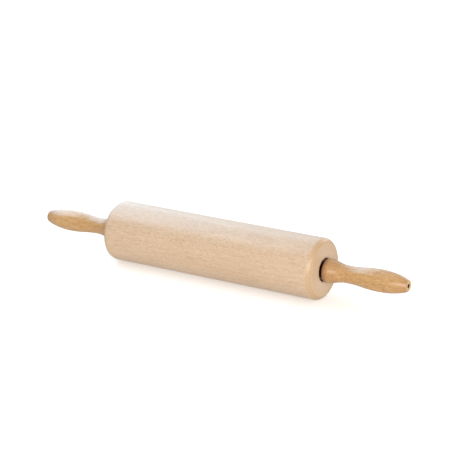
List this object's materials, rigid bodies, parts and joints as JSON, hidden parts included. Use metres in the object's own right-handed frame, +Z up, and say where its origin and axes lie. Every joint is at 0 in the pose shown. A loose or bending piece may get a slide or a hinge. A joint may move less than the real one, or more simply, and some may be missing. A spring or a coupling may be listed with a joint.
{
  "type": "rolling pin",
  "caption": "Wooden rolling pin for dough: a thick barrel with rounded ends that turns freely on ball bearings over a steel rod, held by two turned handles with a flat nose.",
  "frame": {"origin": "middle of the barrel, on the axis of the rod", "axes": "+X along the rod towards the right handle, +Z up, +Y away from the viewer of the picture"},
  "size_m": [0.53, 0.076, 0.076],
  "materials": {
    "maple": "sanded and oiled",
    "handle_wood": "clear lacquer",
    "rod_steel": "drawn",
    "race_steel": "ground",
    "ball_steel": "polished",
    "seal_rubber": "moulded",
    "collar_steel": "blackened",
    "cage_nylon": "moulded"
  },
  "bodies": {
    "barrel": {"barrel": "maple", "left_outer_race": "race_steel", "left_outside_seal": "seal_rubber", "left_inside_seal": "seal_rubber", "right_outer_race": "race_steel", "right_outside_seal": "seal_rubber", "right_inside_seal": "seal_rubber"},
    "axle": {"axle_rod": "rod_steel", "left_inner_race": "race_steel", "left_spacer_collar": "collar_steel", "left_handle": "handle_wood", "right_inner_race": "race_steel", "right_spacer_collar": "collar_steel", "right_handle": "handle_wood"},
    "left_ball_set": {"left_ball_cage": "cage_nylon", "left_ball_1": "ball_steel", "left_ball_2": "ball_steel", "left_ball_3": "ball_steel", "left_ball_4": "ball_steel", "left_ball_5": "ball_steel", "left_ball_6": "ball_steel", "left_ball_7": "ball_steel"},
    "right_ball_set": {"right_ball_cage": "cage_nylon", "right_ball_1": "ball_steel", "right_ball_2": "ball_steel", "right_ball_3": "ball_steel", "right_ball_4": "ball_steel", "right_ball_5": "ball_steel", "right_ball_6": "ball_steel", "right_ball_7": "ball_steel"}
  },
  "joints": [
    {"name": "axle_spin", "type": "hinge", "parent": "barrel", "child": "axle", "pos_m": [0, 0, 0], "axis": [1, 0, 0], "continuous": true},
    {"name": "left_ball_set_orbit", "type": "hinge", "parent": "barrel", "child": "left_ball_set", "pos_m": [-0.1439, 0, 0], "axis": [1, 0, 0], "continuous": true},
    {"name": "right_ball_set_orbit", "type": "hinge", "parent": "barrel", "child": "right_ball_set", "pos_m": [0.1439, 0, 0], "axis": [1, 0, 0], "continuous": true}
  ],
  "couplings": [
    {"joint": "left_ball_set_orbit", "follows": "axle_spin", "ratio": 0.36767},
    {"joint": "right_ball_set_orbit", "follows": "axle_spin", "ratio": 0.36767}
  ]
}
